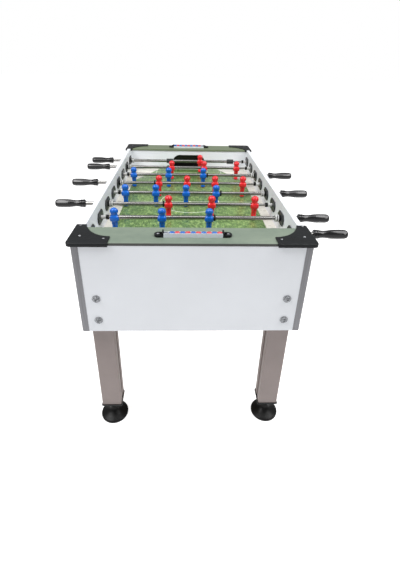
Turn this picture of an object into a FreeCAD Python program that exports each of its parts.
import FreeCAD, Part

import math
import os

# A full-size foosball table with eight telescopic rods, in millimetres.
#
# X runs across the table along the rods, Y runs along its length and Z is up. The origin is on the
# floor under the centre of the field. "near" is the -Y end, "far" is +Y, "left" is -X and "right"
# is +X. Rod 1 is the far goalkeeper's rod and rod 8 is the near goalkeeper's.

# ---- driving dimensions -------------------------------------------------------------------------
ROD_PITCH = 150.0
ROD_COUNT = 8
ROD_Z = 800.0               # rod axes above the floor

HALF_WIDTH = 390.0          # cabinet centre to the outer faces of its corner posts
HALF_LENGTH = 716.0
CABINET_BOTTOM = 504.0
PANEL_TOP = 848.0
SIDE_TOP = 860.0
FIELD_TOP = 727.0
FIELD_HALF_LENGTH = 600.0

POST_SIZE = 25.0
POST_WALL = 2.0
POST_RADIUS = 8.0
SIDE_THICKNESS = 19.0
SIDE_INSET = 1.0            # the boards stand back from the posts' faces by this much
END_THICKNESS = 25.0
GOAL_WALL_THICKNESS = 14.0
SHELF_THICKNESS = 9.0
SHELF_OVERHANG = 4.0
FIELD_THICKNESS = 12.0
BASE_THICKNESS = 8.0

GOAL_FOOT_HALF = 120.0      # half the goal mouth's width at the field
GOAL_HAUNCH_HALF = 101.7    # ... where its arch begins
GOAL_HAUNCH_Z = 788.0
GOAL_CROWN_HALF = 48.0
GOAL_CROWN_Z = 820.0

STRIP_WIDTH = 41.0          # sloped band between the green field and the side boards
RAMP_TIP_X = 190.0          # where a corner ramp's edge meets the goal wall
RAMP_TIP_Y = 338.0          # ... and where it meets the side band
RAMP_RISE = 20.0

GUARD_OVERHANG_X = 12.0
GUARD_OVERHANG_Y = 9.0
GUARD_TOP = 861.0
GUARD_LIP_BOTTOM = PANEL_TOP
GUARD_REACH_Y = 580.0       # how far along the side the guard comes
GUARD_REACH_X = 270.0
GUARD_CORNER_RADIUS = 16.0
GUARD_EDGE_RADIUS = 4.0

LEG_X = 324.0
LEG_WIDTH = 77.0
LEG_DEPTH = 71.0
LEG_WALL = 2.5
LEG_BOTTOM = 92.0
LEG_TOP = 690.0
GROOVE_WIDTH = 14.0
GROOVE_DEPTH = 5.0
CAP_LIP = 3.0
CAP_THICKNESS = 6.0
FOOT_RADIUS = 56.0
STEM_RADIUS = 6.0
STEM_TOP = 170.0

LEG_BOLT_X = 327.0
LEG_BOLT_HEIGHTS = (553.0, 643.5)
BOLT_RADIUS = 5.0
WASHER_RADIUS = 14.5
NUT_RADIUS = 8.7            # over its corners
NUT_THICKNESS = 8.0

TUBE_RADIUS = 8.25          # outer, telescoping tube that carries the men
TUBE_BORE_RADIUS = 6.3
INNER_ROD_RADIUS = 5.0
FIT = 0.05                  # radial running clearance
INNER_ROD_END = 387.0       # in the blind bearing
INNER_ROD_REACH = 85.0      # how far its inner end passes the table's centre line
SLIDER_LENGTH = 30.0
TUBE_BUSH_LENGTH = 45.0
TUBE_PAST_MAN = 18.0

PLATE_THICKNESS = 6.0
PLATE_HALF_HEIGHT = 24.0
PLATE_HALF_WIDTH = 42.0
PLATE_SHOULDER = 9.0        # half the height of the plate's straight ends
PLATE_TOP_HALF = 29.0       # half the length of its level edges
BUSH_RADIUS = 12.0
FLANGE_RADIUS = 19.0        # of a bush, on the outer face of the board
FLANGE_THICKNESS = 3.5
BUMPER_RADIUS = 15.5
BUMPER_NECK_RADIUS = 13.0
BUMPER_TAIL_RADIUS = 12.5
BUMPER_FACE = 343.0         # handle-side bumper, distance of its inner face from the centre line
STOP_RING_FACE = 333.3      # far-side stop ring
STOP_RING_LENGTH = 11.2
STOP_RING_RADIUS = 10.0
SLEEVE_RADIUS = 8.0
RING_GAP = 0.35             # between a ring and the moving shaft it goes round
STOP_GAP = 0.8              # left between a man and the stop at each end of the travel

MAN_HALF_WIDTH = 18.5
HEAD_TOP = 45.0
HEAD_RADIUS = 13.5
FOOT_DROP = 67.0            # foot sole below the rod axis
LEG_HALF_WIDTH = 11.5
KEEPER_STOP_CENTRE = 190.0
KEEPER_STOP_LENGTH = 40.0
KEEPER_STOP_RADIUS = 14.0
TUBE_RING_LENGTH = 7.5      # rubber ring against the shoulder of the man nearest the grip
TUBE_RING_RADIUS = 13.5

HANDLE_LENGTH = 130.0
HANDLE_GRIP_DEPTH = 105.0   # how far the tube goes into the handle
HANDLE_PUSHED_IN = 434.0    # inner end of the handle when the rod is pushed right in
KEEPER_HANDLE_PUSHED_IN = 420.0

THREE_MEN_SPACING = 192.0
FOUR_MEN_SPACING = 145.0

# Each rod, from the far end: handle side (-1 left, red; +1 right, blue), men, how far it is pulled
# out of its pushed-in position, and how far its men lean back from upright, in degrees.
RODS = (
    (-1, 1, 52.5, 0.0),
    (-1, 3, 33.0, 0.0),
    (+1, 3, 6.5, 0.0),
    (-1, 4, 38.5, 0.0),
    (+1, 4, 3.5, 0.0),
    (-1, 3, 29.0, 0.0),
    (+1, 3, 2.5, 0.0),
    (+1, 1, 32.9, 55.0),
)

COUNTER_Y = 660.0
COUNTER_HALF_LENGTH = 97.0
COUNTER_HALF_DEPTH = 14.5
COUNTER_HEIGHT = 15.0       # of the wall towards the end of the table
COUNTER_INNER_HEIGHT = 8.5  # of the wall towards the field
COUNTER_WALL = 1.6
COUNTER_ROD_Z = 866.0
COUNTER_ROD_RADIUS = 2.0
BRACKET_LENGTH = 31.0
BRACKET_WALL = 5.0
BRACKET_TOP = 873.0
BRACKET_TONGUE = 8.0        # thickness of the part that is screwed down
BEAD_COUNT = 10
BEAD_PITCH = 17.4
BEAD_RADIUS = 6.8
BEAD_NECK_RADIUS = 4.5

OUTLET_HALF_WIDTH = 55.0
OUTLET_BOTTOM = 556.0
OUTLET_TOP = 626.0
CHUTE_HALF_WIDTH = 125.0
CHUTE_THICKNESS = 4.0
CHUTE_WALL_HEIGHT = 30.0
CHUTE_HIGH = 680.0
CHUTE_LOW = 604.0
TRAY_FALL = 26.0            # across the cabinet
TRAY_WALL_HEIGHT = 20.0

# ---- derived sizes ------------------------------------------------------------------------------
SIDE_OUTER = HALF_WIDTH - SIDE_INSET
SIDE_INNER = SIDE_OUTER - SIDE_THICKNESS
END_OUTER = HALF_LENGTH - SIDE_INSET
END_INNER = END_OUTER - END_THICKNESS
POST_INNER_X = HALF_WIDTH - POST_SIZE
POST_INNER_Y = HALF_LENGTH - POST_SIZE
LEG_OUTER_Y = END_INNER
LEG_INNER_Y = LEG_OUTER_Y - LEG_DEPTH
LEG_CENTRE_Y = (LEG_OUTER_Y + LEG_INNER_Y) / 2
SHELF_INNER_Y = FIELD_HALF_LENGTH - SHELF_OVERHANG
SHELF_TOP = PANEL_TOP + SHELF_THICKNESS
FIELD_BOTTOM = FIELD_TOP - FIELD_THICKNESS
PLATE_FACE = SIDE_INNER - PLATE_THICKNESS
GREEN_HALF_WIDTH = SIDE_INNER - STRIP_WIDTH
LAST_MAN_PUSHED_IN = STOP_RING_FACE - STOP_GAP - MAN_HALF_WIDTH
KEEPER_PUSHED_IN = STOP_RING_FACE - STOP_GAP - KEEPER_STOP_CENTRE - KEEPER_STOP_LENGTH / 2

V = FreeCAD.Vector
X_AXIS = V(1, 0, 0)
Y_AXIS = V(0, 1, 0)
Z_AXIS = V(0, 0, 1)


# ---- small helpers ------------------------------------------------------------------------------
def box(x0, x1, y0, y1, z0, z1):
    return Part.makeBox(x1 - x0, y1 - y0, z1 - z0, V(x0, y0, z0))


def rod_x(x0, x1, radius, y, z, bore=0.0):
    """A round bar along X from x0 to x1 (in either order), with a bore through it if one is given."""
    low, high = min(x0, x1), max(x0, x1)
    bar = Part.makeCylinder(radius, high - low, V(low, y, z), X_AXIS)
    if bore:
        bar = bar.cut(Part.makeCylinder(bore, high - low + 2, V(low - 1, y, z), X_AXIS))
    return bar


def rod_z(z0, z1, radius, x, y):
    return Part.makeCylinder(radius, z1 - z0, V(x, y, z0), Z_AXIS)


def turned(profile, centre, axis):
    """A solid of revolution about the line through centre along axis; profile is (along, radius)."""
    side = V(0, 0, 1) if abs(axis.z) < 0.5 else V(1, 0, 0)
    points = [centre + axis * along + side * radius for along, radius in profile]
    face = Part.Face(Part.makePolygon(points + [points[0]]))
    return face.revolve(centre, axis, 360)


def filleted(shape, radius, wanted):
    """Rounds the edges whose centre of mass passes the wanted test."""
    edges = [edge for edge in shape.Edges if wanted(edge.CenterOfMass, edge)]
    return shape.makeFillet(radius, edges)


def mirror_x(shape):
    return shape.mirror(V(0, 0, 0), X_AXIS)


def mirror_y(shape):
    return shape.mirror(V(0, 0, 0), Y_AXIS)


def both_ends(shape):
    return [shape, mirror_y(shape)]


def four_corners(shape):
    """The same piece at all four corners, from the one at the far right (+X, +Y)."""
    return both_ends(shape) + both_ends(mirror_x(shape))


def save(node, pieces):
    pieces = pieces if isinstance(pieces, list) else [pieces]
    shape = pieces[0] if len(pieces) == 1 else Part.makeCompound(pieces)
    shape.exportStep(os.path.join("parts", node + ".step"))


def rod_y(index):
    """Y of a rod's axis; index runs from 0 at the far end."""
    return ROD_PITCH * ((ROD_COUNT - 1) / 2 - index)


def cut_all(shape, tools):
    return shape.cut(Part.makeCompound(tools))


# ---- cabinet ------------------------------------------------------------------------------------
def side_board(side):
    """A long side board, stepped down at its ends to pass under the end shelves and their guards."""
    outline = [
        (-POST_INNER_Y, CABINET_BOTTOM),
        (POST_INNER_Y, CABINET_BOTTOM),
        (POST_INNER_Y, PANEL_TOP),
        (GUARD_REACH_Y, PANEL_TOP),
        (GUARD_REACH_Y, SIDE_TOP),
        (-GUARD_REACH_Y, SIDE_TOP),
        (-GUARD_REACH_Y, PANEL_TOP),
        (-POST_INNER_Y, PANEL_TOP),
    ]
    loop = [V(SIDE_INNER, y, z) for y, z in outline]
    board = Part.Face(Part.makePolygon(loop + [loop[0]])).extrude(V(SIDE_THICKNESS, 0, 0))
    long_top = lambda centre, edge: centre.z > SIDE_TOP - 1 and edge.Length > GUARD_REACH_Y
    board = filleted(board, 1.5, long_top)
    if side < 0:
        board = mirror_x(board)
    holes = [
        rod_x(side * (SIDE_INNER - 1), side * (SIDE_OUTER + 1), BUSH_RADIUS, rod_y(i), ROD_Z)
        for i in range(ROD_COUNT)
    ]
    board = cut_all(board, holes)
    if side > 0:
        window = box(
            SIDE_INNER - 1, SIDE_OUTER + 1,
            -OUTLET_HALF_WIDTH, OUTLET_HALF_WIDTH, OUTLET_BOTTOM, OUTLET_TOP,
        )
        board = board.cut(window)
    return board


def end_panel():
    panel = box(-POST_INNER_X, POST_INNER_X, END_INNER, END_OUTER, CABINET_BOTTOM, PANEL_TOP)
    holes = [
        Part.makeCylinder(BOLT_RADIUS, END_THICKNESS + 2, V(x, END_INNER - 1, z), Y_AXIS)
        for x in (-LEG_BOLT_X, LEG_BOLT_X)
        for z in LEG_BOLT_HEIGHTS
    ]
    return cut_all(panel, holes)


def goal_mouth():
    """The goal's arched opening as a solid, long enough to cut the far goal wall right through."""
    y = FIELD_HALF_LENGTH - 1
    foot, haunch, crown = GOAL_FOOT_HALF, GOAL_HAUNCH_HALF, GOAL_CROWN_HALF
    below = FIELD_TOP - 1
    shoulder_x = crown + 0.72 * (haunch - crown)
    shoulder_z = GOAL_HAUNCH_Z + 0.68 * (GOAL_CROWN_Z - GOAL_HAUNCH_Z)

    def arch(side):
        haunch_point = V(side * haunch, y, GOAL_HAUNCH_Z)
        crown_point = V(side * crown, y, GOAL_CROWN_Z)
        middle = V(side * shoulder_x, y, shoulder_z)
        return Part.Arc(haunch_point, middle, crown_point).toShape()

    left, right = arch(-1), arch(+1)
    edges = [
        Part.LineSegment(V(-foot, y, below), V(foot, y, below)).toShape(),
        Part.LineSegment(V(foot, y, below), V(haunch, y, GOAL_HAUNCH_Z)).toShape(),
        right,
        Part.LineSegment(V(crown, y, GOAL_CROWN_Z), V(-crown, y, GOAL_CROWN_Z)).toShape(),
        left,
        Part.LineSegment(V(-haunch, y, GOAL_HAUNCH_Z), V(-foot, y, below)).toShape(),
    ]
    wire = Part.Wire(Part.__sortEdges__(edges))
    return Part.Face(wire).extrude(V(0, GOAL_WALL_THICKNESS + 2, 0))


def goal_wall():
    wall = box(
        -SIDE_INNER, SIDE_INNER, FIELD_HALF_LENGTH, FIELD_HALF_LENGTH + GOAL_WALL_THICKNESS,
        FIELD_BOTTOM, PANEL_TOP,
    )
    return wall.cut(goal_mouth())


def corner_post():
    """A hollow square extrusion with its outer corner rounded."""
    outer = box(POST_INNER_X, HALF_WIDTH, POST_INNER_Y, HALF_LENGTH, CABINET_BOTTOM, PANEL_TOP)
    inner = box(
        POST_INNER_X + POST_WALL, HALF_WIDTH - POST_WALL,
        POST_INNER_Y + POST_WALL, HALF_LENGTH - POST_WALL,
        CABINET_BOTTOM - 1, PANEL_TOP + 1,
    )
    post_centre = POST_INNER_X + POST_SIZE / 2
    outward = lambda centre, edge: (
        centre.x > post_centre
        and centre.y > HALF_LENGTH - POST_SIZE / 2
        and edge.Length > PANEL_TOP - CABINET_BOTTOM - 1
    )
    outer = filleted(outer, POST_RADIUS, outward)
    inner = filleted(inner, POST_RADIUS - POST_WALL, outward)
    return outer.cut(inner)


def shelf():
    """The flat board across one end, with screw holes under the corner guards."""
    board = box(
        -HALF_WIDTH, HALF_WIDTH, SHELF_INNER_Y, HALF_LENGTH, PANEL_TOP, SHELF_TOP,
    )
    return cut_all(board, shelf_screws(with_clearance=True))


def guard_blank():
    """A corner guard's outline, concave towards the table, before the boards are cut out of it."""
    x1 = HALF_WIDTH + GUARD_OVERHANG_X
    y1 = HALF_LENGTH + GUARD_OVERHANG_Y
    r = GUARD_CORNER_RADIUS
    z = GUARD_LIP_BOTTOM
    sine = math.sin(math.radians(45))
    hollow = Part.BSplineCurve()
    hollow.interpolate([
        V(366, GUARD_REACH_Y, z),
        V(352, 617, z),
        V(321, 655, z),
        V(GUARD_REACH_X, 673, z),
    ])
    corner = Part.Arc(
        V(x1, y1 - r, z),
        V(x1 - r + r * sine, y1 - r + r * sine, z),
        V(x1 - r, y1, z),
    )
    edges = [
        hollow.toShape(),
        Part.LineSegment(V(GUARD_REACH_X, 673, z), V(GUARD_REACH_X, y1, z)).toShape(),
        Part.LineSegment(V(GUARD_REACH_X, y1, z), V(x1 - r, y1, z)).toShape(),
        corner.toShape(),
        Part.LineSegment(V(x1, y1 - r, z), V(x1, GUARD_REACH_Y, z)).toShape(),
        Part.LineSegment(V(x1, GUARD_REACH_Y, z), V(366, GUARD_REACH_Y, z)).toShape(),
    ]
    wire = Part.Wire(Part.__sortEdges__(edges))
    blank = Part.Face(wire).extrude(V(0, 0, GUARD_TOP - GUARD_LIP_BOTTOM))
    rim = lambda centre, edge: centre.z > GUARD_TOP - 0.1 and (
        centre.x > HALF_WIDTH or centre.y > HALF_LENGTH
    )
    return filleted(blank, GUARD_EDGE_RADIUS, rim)


def corner_guard():
    """A moulded cover over a shelf corner: a skin on top and a lip down over the edges."""
    shelf_space = box(0, HALF_WIDTH, SHELF_INNER_Y, HALF_LENGTH, PANEL_TOP - 1, SHELF_TOP)
    guard = guard_blank().cut(shelf_space)
    return cut_all(guard, guard_screws(with_clearance=True))


def screw(x, y, top, length, head_radius, head_height, with_clearance=False):
    """A pan-head screw that points down; with clearance it is only the hole for its shank."""
    radius = head_radius * 0.45
    if with_clearance:
        return rod_z(top - length, top + head_height, radius, x, y)
    profile = [
        (-length, 0), (-length, radius), (0, radius), (0, head_radius),
        (head_height * 0.4, head_radius), (head_height * 0.85, head_radius * 0.7),
        (head_height, head_radius * 0.25), (head_height, 0),
    ]
    return turned(profile, V(x, y, top), Z_AXIS)


def guard_screws(with_clearance=False):
    places = ((367.0, 671.0), (287.0, 690.0), (384.5, 588.0))
    return [screw(x, y, GUARD_TOP, 11.0, 4.5, 2.0, with_clearance) for x, y in places]


def counter_screw_x():
    return COUNTER_HALF_LENGTH + BRACKET_LENGTH * 0.6


def shelf_screws(with_clearance=False):
    """Holes in the far shelf for the guard screws and the counter's bracket screws."""
    screws = guard_screws(with_clearance)[:2]
    screws = screws + [mirror_x(piece) for piece in screws]
    return screws + bracket_screws(with_clearance)


def bracket_screws(with_clearance=False):
    top = SHELF_TOP + BRACKET_TONGUE
    right = screw(counter_screw_x(), COUNTER_Y, top, 13.0, 4.0, 2.0, with_clearance)
    return [right, mirror_x(right)]


def all_screws():
    """Every screw that shows on the shelves and guards, as separate solids."""
    pieces = []
    for piece in guard_screws():
        pieces += four_corners(piece)
    for piece in bracket_screws():
        pieces += both_ends(piece)
    return pieces


# ---- field --------------------------------------------------------------------------------------
def playfield():
    return box(
        -SIDE_INNER, SIDE_INNER, -FIELD_HALF_LENGTH, FIELD_HALF_LENGTH, FIELD_BOTTOM, FIELD_TOP,
    )


def ramp_height(x, y):
    """Height of a corner ramp above the field: one flat facet rising from its diagonal edge."""
    run_x = GREEN_HALF_WIDTH - RAMP_TIP_X
    run_y = FIELD_HALF_LENGTH - RAMP_TIP_Y
    across = lambda px, py: (px - RAMP_TIP_X) * run_y + (py - FIELD_HALF_LENGTH) * run_x
    return RAMP_RISE * across(x, y) / across(SIDE_INNER, FIELD_HALF_LENGTH)


def polyhedron(faces):
    shells = [Part.Face(Part.makePolygon(list(face) + [face[0]])) for face in faces]
    return Part.Solid(Part.Shell(shells))


def corner_ramp():
    """The raised white corner of the field, which sends the ball back off the end wall."""
    plan = [
        (RAMP_TIP_X, FIELD_HALF_LENGTH),
        (GREEN_HALF_WIDTH, RAMP_TIP_Y),
        (SIDE_INNER, RAMP_TIP_Y),
        (SIDE_INNER, FIELD_HALF_LENGTH),
    ]
    a, b, c, d = [V(x, y, FIELD_TOP) for x, y in plan]
    c_top = c + V(0, 0, ramp_height(c.x, c.y))
    d_top = d + V(0, 0, ramp_height(d.x, d.y))
    return polyhedron([
        (a, b, c, d), (a, b, c_top, d_top), (b, c, c_top), (c, d, d_top, c_top), (d, a, d_top),
    ])


def side_band():
    """The sloped white band along a side board, between the two corner ramps."""
    rise = ramp_height(SIDE_INNER, RAMP_TIP_Y)
    profile = [
        V(GREEN_HALF_WIDTH, -RAMP_TIP_Y, FIELD_TOP),
        V(SIDE_INNER, -RAMP_TIP_Y, FIELD_TOP),
        V(SIDE_INNER, -RAMP_TIP_Y, FIELD_TOP + rise),
    ]
    face = Part.Face(Part.makePolygon(profile + [profile[0]]))
    return face.extrude(V(0, 2 * RAMP_TIP_Y, 0))


def field_cleat():
    """A batten under the edge of the playfield, fixed to the side board."""
    return box(SIDE_INNER - 20, SIDE_INNER, -580, 580, FIELD_BOTTOM - 22, FIELD_BOTTOM)


def base_board():
    board = box(
        -SIDE_INNER, SIDE_INNER, -END_INNER, END_INNER, CABINET_BOTTOM, CABINET_BOTTOM + BASE_THICKNESS,
    )
    notch = box(
        LEG_X - LEG_WIDTH / 2 - 1, LEG_X + LEG_WIDTH / 2 + 1,
        LEG_INNER_Y - 1, END_INNER + 1, CABINET_BOTTOM - 1, CABINET_BOTTOM + BASE_THICKNESS + 1,
    )
    return cut_all(board, four_corners(notch))


# ---- ball return, inside ------------------------------------------------------------------------
def chute():
    """A sloping trough from under the far goal to the middle of the cabinet."""
    start, finish = END_INNER - 2, OUTLET_HALF_WIDTH + 8

    def slab(height, x0, x1):
        profile = [
            (start, CHUTE_HIGH), (finish, CHUTE_LOW),
            (finish, CHUTE_LOW + height), (start, CHUTE_HIGH + height),
        ]
        loop = [V(x0, y, z) for y, z in profile]
        return Part.Face(Part.makePolygon(loop + [loop[0]])).extrude(V(x1 - x0, 0, 0))

    floor = slab(CHUTE_THICKNESS, -CHUTE_HALF_WIDTH, CHUTE_HALF_WIDTH)
    left = slab(CHUTE_WALL_HEIGHT, -CHUTE_HALF_WIDTH - CHUTE_THICKNESS, -CHUTE_HALF_WIDTH)
    right = slab(CHUTE_WALL_HEIGHT, CHUTE_HALF_WIDTH, CHUTE_HALF_WIDTH + CHUTE_THICKNESS)
    return floor.fuse(left).fuse(right).removeSplitter()


def outlet_tray():
    """The tray across the middle of the cabinet that leads the ball out of the right-hand side."""
    y = OUTLET_HALF_WIDTH
    left, right = -CHUTE_HALF_WIDTH - CHUTE_THICKNESS, SIDE_OUTER
    high, low = OUTLET_BOTTOM + TRAY_FALL, OUTLET_BOTTOM

    def slab(y0, y1, height):
        loop = [
            V(left, y0, high), V(right, y0, low),
            V(right, y0, low + height), V(left, y0, high + height),
        ]
        return Part.Face(Part.makePolygon(loop + [loop[0]])).extrude(V(0, y1 - y0, 0))

    floor = slab(-y, y, CHUTE_THICKNESS)
    near_wall = slab(-y, -y + CHUTE_THICKNESS, TRAY_WALL_HEIGHT)
    far_wall = slab(y - CHUTE_THICKNESS, y, TRAY_WALL_HEIGHT)
    return floor.fuse(near_wall).fuse(far_wall).removeSplitter()


# ---- legs ---------------------------------------------------------------------------------------
def leg():
    """A hollow square extrusion with rounded edges and a shallow groove down its inward face."""
    x0, x1 = LEG_X - LEG_WIDTH / 2, LEG_X + LEG_WIDTH / 2
    upright = lambda centre, edge: edge.Length > LEG_TOP - LEG_BOTTOM - 1
    outer = filleted(box(x0, x1, LEG_INNER_Y, LEG_OUTER_Y, LEG_BOTTOM, LEG_TOP), 3.5, upright)
    w = LEG_WALL
    hollow = box(x0 + w, x1 - w, LEG_INNER_Y + w, LEG_OUTER_Y - w, LEG_BOTTOM - 1, LEG_TOP + 1)
    half = GROOVE_WIDTH / 2
    middle = LEG_CENTRE_Y
    channel = box(
        x0 + w, x0 + w + GROOVE_DEPTH,
        middle - half - w, middle + half + w, LEG_BOTTOM - 1, LEG_TOP + 1,
    )
    groove = box(x0 - 1, x0 + GROOVE_DEPTH, middle - half, middle + half, LEG_BOTTOM - 1, LEG_TOP + 1)
    tube = outer.cut(hollow.cut(channel)).cut(groove)
    holes = [
        Part.makeCylinder(BOLT_RADIUS, w + 2, V(LEG_BOLT_X, LEG_OUTER_Y - w - 1, z), Y_AXIS)
        for z in LEG_BOLT_HEIGHTS
    ]
    return cut_all(tube, holes)


def leg_cap():
    """The plastic plate under a leg, with a plug inside the tube that the foot's stem screws into."""
    x0, x1 = LEG_X - LEG_WIDTH / 2, LEG_X + LEG_WIDTH / 2
    plate = box(
        x0 - CAP_LIP, x1 + CAP_LIP, LEG_INNER_Y - CAP_LIP, LEG_OUTER_Y + CAP_LIP,
        LEG_BOTTOM - CAP_THICKNESS, LEG_BOTTOM,
    )
    rim = lambda centre, edge: abs(edge.Length - CAP_THICKNESS) < 0.1
    plate = filleted(plate, 4.0, rim)
    plug = rod_z(LEG_BOTTOM - 1, LEG_BOTTOM + 30, 18.0, LEG_X, LEG_CENTRE_Y)
    hole = rod_z(LEG_BOTTOM - 20, LEG_BOTTOM + 40, STEM_RADIUS + FIT, LEG_X, LEG_CENTRE_Y)
    return plate.fuse(plug).cut(hole)


def levelling_foot():
    """A wide round foot on a threaded stem, as one turned piece."""
    profile = [
        (0, 0), (0, FOOT_RADIUS - 2), (2, FOOT_RADIUS), (9, FOOT_RADIUS), (13, FOOT_RADIUS - 3),
        (27, 24), (34, 15), (50, 13), (52, 10), (60, 10), (60, STEM_RADIUS),
        (STEM_TOP, STEM_RADIUS), (STEM_TOP, 0),
    ]
    return turned(profile, V(LEG_X, LEG_CENTRE_Y, 0), Z_AXIS)


def leg_bolt(z):
    """A domed bolt through the end panel into a leg, with its washer and its nut."""
    face = END_OUTER
    head = [
        (2, 0), (2, 9.5), (4.5, 9.5), (7, 7.5), (8.5, 4), (9, 0),
    ]
    start = V(LEG_BOLT_X, face, z)
    shank = Part.makeCylinder(BOLT_RADIUS, 41, V(LEG_BOLT_X, face - 39, z), Y_AXIS)
    bolt = turned(head, start, Y_AXIS).fuse(shank).removeSplitter()
    washer = Part.makeCylinder(WASHER_RADIUS, 2, start, Y_AXIS)
    washer = washer.cut(Part.makeCylinder(BOLT_RADIUS, 4, start - Y_AXIS, Y_AXIS))
    seat = LEG_OUTER_Y - LEG_WALL
    corners = []
    for i in range(6):
        angle = math.radians(60 * i)
        across, above = NUT_RADIUS * math.cos(angle), NUT_RADIUS * math.sin(angle)
        corners.append(V(LEG_BOLT_X + across, seat - NUT_THICKNESS, z + above))
    nut = Part.Face(Part.makePolygon(corners + [corners[0]])).extrude(V(0, NUT_THICKNESS, 0))
    nut = nut.cut(shank)
    return [bolt, washer, nut]


# ---- rod bearings on the walls ------------------------------------------------------------------
def bearing_plate(side, y):
    """The long eight-sided plate on the inner face of a side board."""
    w, h, top, shoulder = PLATE_HALF_WIDTH, PLATE_HALF_HEIGHT, PLATE_TOP_HALF, PLATE_SHOULDER
    outline = [
        (-top, h), (top, h), (w, shoulder), (w, -shoulder),
        (top, -h), (-top, -h), (-w, -shoulder), (-w, shoulder),
    ]
    loop = [V(PLATE_FACE, y + dy, ROD_Z + dz) for dy, dz in outline]
    plate = Part.Face(Part.makePolygon(loop + [loop[0]])).extrude(V(PLATE_THICKNESS, 0, 0))
    front = lambda centre, edge: centre.x < PLATE_FACE + 0.1
    plate = filleted(plate, 2.0, front)
    plate = plate.cut(rod_x(PLATE_FACE - 1, SIDE_INNER + 1, BUSH_RADIUS, y, ROD_Z))
    return plate if side > 0 else mirror_x(plate)


def handle_side_bush(side, y):
    """The flanged bush that the tube slides and turns in, open right through."""
    body = rod_x(side * PLATE_FACE, side * SIDE_OUTER, BUSH_RADIUS, y, ROD_Z)
    outside = SIDE_OUTER + FLANGE_THICKNESS
    flange = rod_x(side * SIDE_OUTER, side * outside, FLANGE_RADIUS, y, ROD_Z)
    bore = rod_x(side * (PLATE_FACE - 1), side * (outside + 1), TUBE_RADIUS + FIT, y, ROD_Z)
    return body.fuse(flange).removeSplitter().cut(bore)


def far_side_bush(side, y):
    """The blind bush that the inner rod turns in, closed by a cap on the outside."""
    body = rod_x(side * PLATE_FACE, side * SIDE_OUTER, BUSH_RADIUS, y, ROD_Z)
    cap = rod_x(side * SIDE_OUTER, side * (SIDE_OUTER + FLANGE_THICKNESS), FLANGE_RADIUS, y, ROD_Z)
    bore = rod_x(side * (PLATE_FACE - 1), side * SIDE_OUTER, INNER_ROD_RADIUS + FIT, y, ROD_Z)
    return body.fuse(cap).removeSplitter().cut(bore)


def bumper(side, y):
    """The stepped bumper on the handle side, which a man meets when the rod is pulled out."""
    bore = TUBE_RADIUS + RING_GAP
    steps = (
        (0.0, 6.0, BUMPER_RADIUS),
        (6.0, 9.0, BUMPER_NECK_RADIUS),
        (9.0, 14.0, BUMPER_RADIUS),
        (14.0, PLATE_FACE - BUMPER_FACE, BUMPER_TAIL_RADIUS),
    )
    rings = [
        rod_x(side * (BUMPER_FACE + start), side * (BUMPER_FACE + end), radius, y, ROD_Z, bore)
        for start, end, radius in steps
    ]
    return rings[0].multiFuse(rings[1:]).removeSplitter()


def stop_ring(side, y):
    """The rubber ring round the inner rod that the tube meets when the rod is pushed in."""
    end = STOP_RING_FACE + STOP_RING_LENGTH
    bore = INNER_ROD_RADIUS + RING_GAP
    return rod_x(side * STOP_RING_FACE, side * end, STOP_RING_RADIUS, y, ROD_Z, bore)


def sleeve(side, y):
    start = STOP_RING_FACE + STOP_RING_LENGTH
    bore = INNER_ROD_RADIUS + RING_GAP
    return rod_x(side * start, side * PLATE_FACE, SLEEVE_RADIUS, y, ROD_Z, bore)


# ---- rods ---------------------------------------------------------------------------------------
def inner_rod(side, y):
    """The thin rod held in the far wall, with a plastic slider on its inner end."""
    far = -side
    tip = -far * INNER_ROD_REACH
    rod = rod_x(tip, far * INNER_ROD_END, INNER_ROD_RADIUS, y, ROD_Z)
    slider = rod_x(
        tip + far * 5, tip + far * (5 + SLIDER_LENGTH), TUBE_BORE_RADIUS - FIT, y, ROD_Z,
        INNER_ROD_RADIUS,
    )
    return [rod, slider]


def men_positions(side, men, pulled):
    """Where the men of one rod stand along X."""
    if men == 1:
        return [-side * (KEEPER_PUSHED_IN - pulled)]
    spacing = THREE_MEN_SPACING if men == 3 else FOUR_MEN_SPACING
    return [-side * (LAST_MAN_PUSHED_IN - pulled - i * spacing) for i in range(men)]


def tube_ends(side, men, pulled):
    """The tube's free end, inside the cabinet, and its end inside the handle."""
    if men == 1:
        free = KEEPER_PUSHED_IN + KEEPER_STOP_CENTRE + KEEPER_STOP_LENGTH / 2 - pulled
        handle = KEEPER_HANDLE_PUSHED_IN + pulled
    else:
        free = LAST_MAN_PUSHED_IN + TUBE_PAST_MAN - pulled
        handle = HANDLE_PUSHED_IN + pulled
    return -side * free, side * (handle + HANDLE_GRIP_DEPTH)


def rod_tube(side, men, pulled, y):
    """The outer tube with its end bush, and a goalkeeper's stops or the ring beside the first man."""
    free, gripped = tube_ends(side, men, pulled)
    tube = rod_x(free, gripped, TUBE_RADIUS, y, ROD_Z, TUBE_BORE_RADIUS)
    bush = rod_x(free, free + side * TUBE_BUSH_LENGTH, TUBE_BORE_RADIUS, y, ROD_Z, INNER_ROD_RADIUS + FIT)
    pieces = [tube, bush]
    if men == 1:
        keeper = men_positions(side, men, pulled)[0]
        for offset in (-KEEPER_STOP_CENTRE, KEEPER_STOP_CENTRE):
            x = keeper + offset
            half = KEEPER_STOP_LENGTH / 2
            pieces.append(rod_x(x - half, x + half, KEEPER_STOP_RADIUS, y, ROD_Z, TUBE_RADIUS))
    else:
        shoulder = men_positions(side, men, pulled)[-1] + side * MAN_HALF_WIDTH
        outer = shoulder + side * TUBE_RING_LENGTH
        pieces.append(rod_x(shoulder, outer, TUBE_RING_RADIUS, y, ROD_Z, TUBE_RADIUS))
    return pieces


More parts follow.
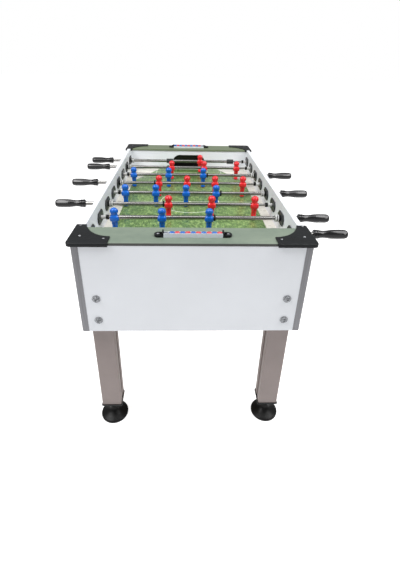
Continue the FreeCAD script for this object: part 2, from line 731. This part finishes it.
def handle(side, men, pulled, y):
    """A turned grip: flared collar, waist and a fuller barrel with a rounded end."""
    start = abs(tube_ends(side, men, pulled)[1]) - HANDLE_GRIP_DEPTH
    profile = [
        (0, 0), (0, 15.5), (3, 17.5), (14, 17.5), (24, 15.2), (36, 14.0), (48, 14.6), (62, 17.0),
        (76, 18.0), (118, 18.0), (126, 16.5), (HANDLE_LENGTH, 12.5), (HANDLE_LENGTH, 0),
    ]
    grip = turned(profile, V(side * start, y, ROD_Z), X_AXIS * side)
    socket = rod_x(side * (start - 1), side * (start + HANDLE_GRIP_DEPTH), TUBE_RADIUS, y, ROD_Z)
    return grip.cut(socket)


def man(x, y, facing, lean):
    """One man, facing +Y or -Y: head, shoulders round the tube, legs and a kicking foot."""
    def block(half_x, half_y, z0, z1, shift=0.0):
        return box(-half_x, half_x, shift - half_y, shift + half_y, z0, z1)

    soft = lambda centre, edge: True
    torso = filleted(block(MAN_HALF_WIDTH, 14.0, -15.0, 19.0), 5.0, soft)
    neck = Part.makeCylinder(8.0, 12.0, V(0, 0, 15.0), Z_AXIS)
    head = Part.makeSphere(HEAD_RADIUS, V(0, 0, HEAD_TOP - HEAD_RADIUS))
    legs = filleted(block(LEG_HALF_WIDTH, 9.0, -52.0, -10.0), 3.0, soft)
    foot = filleted(block(LEG_HALF_WIDTH, 12.5, -FOOT_DROP, -44.0, 1.5), 2.0, soft)
    figure = torso.fuse(neck).fuse(head).fuse(legs).fuse(foot).removeSplitter()
    figure = figure.cut(rod_x(-30, 30, TUBE_RADIUS, 0, 0))
    if facing < 0:
        figure.rotate(V(0, 0, 0), Z_AXIS, 180)
    figure.rotate(V(0, 0, 0), X_AXIS, facing * lean)
    figure.translate(V(x, y, ROD_Z))
    return figure


# ---- score counters -----------------------------------------------------------------------------
def counter_bar():
    """A shallow channel, open at the top, that the beads sit in, lower on the side of the field."""
    y, d, w = COUNTER_Y, COUNTER_HALF_DEPTH, COUNTER_WALL
    half = COUNTER_HALF_LENGTH
    top = SHELF_TOP + COUNTER_HEIGHT
    bar = box(-half, half, y - d, y + d, SHELF_TOP, top)
    trough = box(-half - 1, half + 1, y - d + w, y + d - w, SHELF_TOP + w, top + 1)
    above_inner_wall = box(
        -half - 1, half + 1, y - d - 1, y, SHELF_TOP + COUNTER_INNER_HEIGHT, top + 1,
    )
    return bar.cut(trough).cut(above_inner_wall)


def counter_bracket():
    """The end piece of a counter: a round-nosed tongue on the shelf and an upright plate."""
    y, d = COUNTER_Y, COUNTER_HALF_DEPTH
    x0 = COUNTER_HALF_LENGTH
    x1 = x0 + BRACKET_LENGTH
    plate = box(x0, x0 + BRACKET_WALL, y - d, y + d, SHELF_TOP, BRACKET_TOP)
    tongue_top = SHELF_TOP + BRACKET_TONGUE
    tongue = box(x0 + BRACKET_WALL, x1 - d, y - d, y + d, SHELF_TOP, tongue_top)
    nose = rod_z(SHELF_TOP, tongue_top, d, x1 - d, y)
    web = box(x0 + BRACKET_WALL, x0 + BRACKET_WALL + 8, y - 2, y + 2, SHELF_TOP, SHELF_TOP + 14)
    bracket = plate.fuse(tongue).fuse(nose).fuse(web).removeSplitter()
    bracket = bracket.cut(rod_x(x0 - 1, x0 + BRACKET_WALL + 1, COUNTER_ROD_RADIUS, y, COUNTER_ROD_Z))
    return cut_all(bracket, bracket_screws(with_clearance=True))


def counter_rod():
    half = COUNTER_HALF_LENGTH + BRACKET_WALL
    return rod_x(-half, half, COUNTER_ROD_RADIUS, COUNTER_Y, COUNTER_ROD_Z)


def bead_row():
    """Ten barrel-shaped beads on the far counter's rod, pushed to its left-hand end."""
    beads = []
    for i in range(BEAD_COUNT):
        x = -COUNTER_HALF_LENGTH + 1 + BEAD_PITCH * i
        full = BEAD_PITCH
        profile = [
            (0, 0), (0, BEAD_NECK_RADIUS), (2.0, BEAD_NECK_RADIUS), (3.2, BEAD_RADIUS - 1.2),
            (5.2, BEAD_RADIUS), (full - 5.2, BEAD_RADIUS), (full - 3.2, BEAD_RADIUS - 1.2),
            (full - 2.0, BEAD_NECK_RADIUS), (full, BEAD_NECK_RADIUS), (full, 0),
        ]
        bead = turned(profile, V(x, COUNTER_Y, COUNTER_ROD_Z), X_AXIS)
        bore = rod_x(x - 1, x + full + 1, COUNTER_ROD_RADIUS + FIT, COUNTER_Y, COUNTER_ROD_Z)
        beads.append(bead.cut(bore))
    return beads


def half_turn(shape):
    """The same piece at the other end of the table, turned round with it."""
    copy = shape.copy()
    copy.rotate(V(0, 0, 0), Z_AXIS, 180)
    return copy


# ---- the whole table ----------------------------------------------------------------------------
def save_cabinet():
    save("side_board_left", side_board(-1))
    save("side_board_right", side_board(+1))
    save("end_panel_far", end_panel())
    save("end_panel_near", mirror_y(end_panel()))
    save("goal_walls", both_ends(goal_wall()))
    save("end_shelves", both_ends(shelf()))
    save("corner_posts", four_corners(corner_post()))
    save("corner_guards", four_corners(corner_guard()))
    save("shelf_screws", all_screws())
    save("base_board", base_board())
    save("playfield", playfield())
    band = side_band()
    save("field_ramps", four_corners(corner_ramp()) + [band, mirror_x(band)])
    cleat = field_cleat()
    save("field_cleats", [cleat, mirror_x(cleat)])
    save("ball_return", both_ends(chute()) + [outlet_tray()])


def save_legs():
    save("legs", four_corners(leg()))
    save("leg_caps", four_corners(leg_cap()))
    bolts = []
    for z in LEG_BOLT_HEIGHTS:
        for piece in leg_bolt(z):
            bolts += four_corners(piece)
    save("leg_bolts", bolts)
    names = ("far_right", "near_right", "far_left", "near_left")
    for name, foot in zip(names, four_corners(levelling_foot())):
        save("levelling_foot_" + name, foot)


def save_counters():
    save("counter_bars", both_ends(counter_bar()))
    rod = counter_rod()
    save("counter_brackets", four_corners(counter_bracket()) + both_ends(rod))
    row = bead_row()
    save("counter_beads_far", row)
    save("counter_beads_near", [half_turn(bead) for bead in row])


def save_rods():
    plates, bushes, rings = [], [], []
    for i, (side, men, pulled, lean) in enumerate(RODS):
        y = rod_y(i)
        plates += [bearing_plate(+1, y), bearing_plate(-1, y)]
        bushes += [handle_side_bush(side, y), far_side_bush(-side, y)]
        rings += [bumper(side, y), stop_ring(-side, y), sleeve(-side, y)]
        number = str(i + 1)
        save("inner_rod_" + number, inner_rod(side, y))
        save("rod_tube_" + number, rod_tube(side, men, pulled, y))
        save("handle_" + number, handle(side, men, pulled, y))
        figures = [man(x, y, side, lean) for x in men_positions(side, men, pulled)]
        save("men_" + number, figures)
    save("bearing_plates", plates)
    save("bearing_bushes", bushes)
    save("wall_rings", rings)


os.makedirs("parts", exist_ok=True)
save_cabinet()
save_legs()
save_counters()
save_rods()
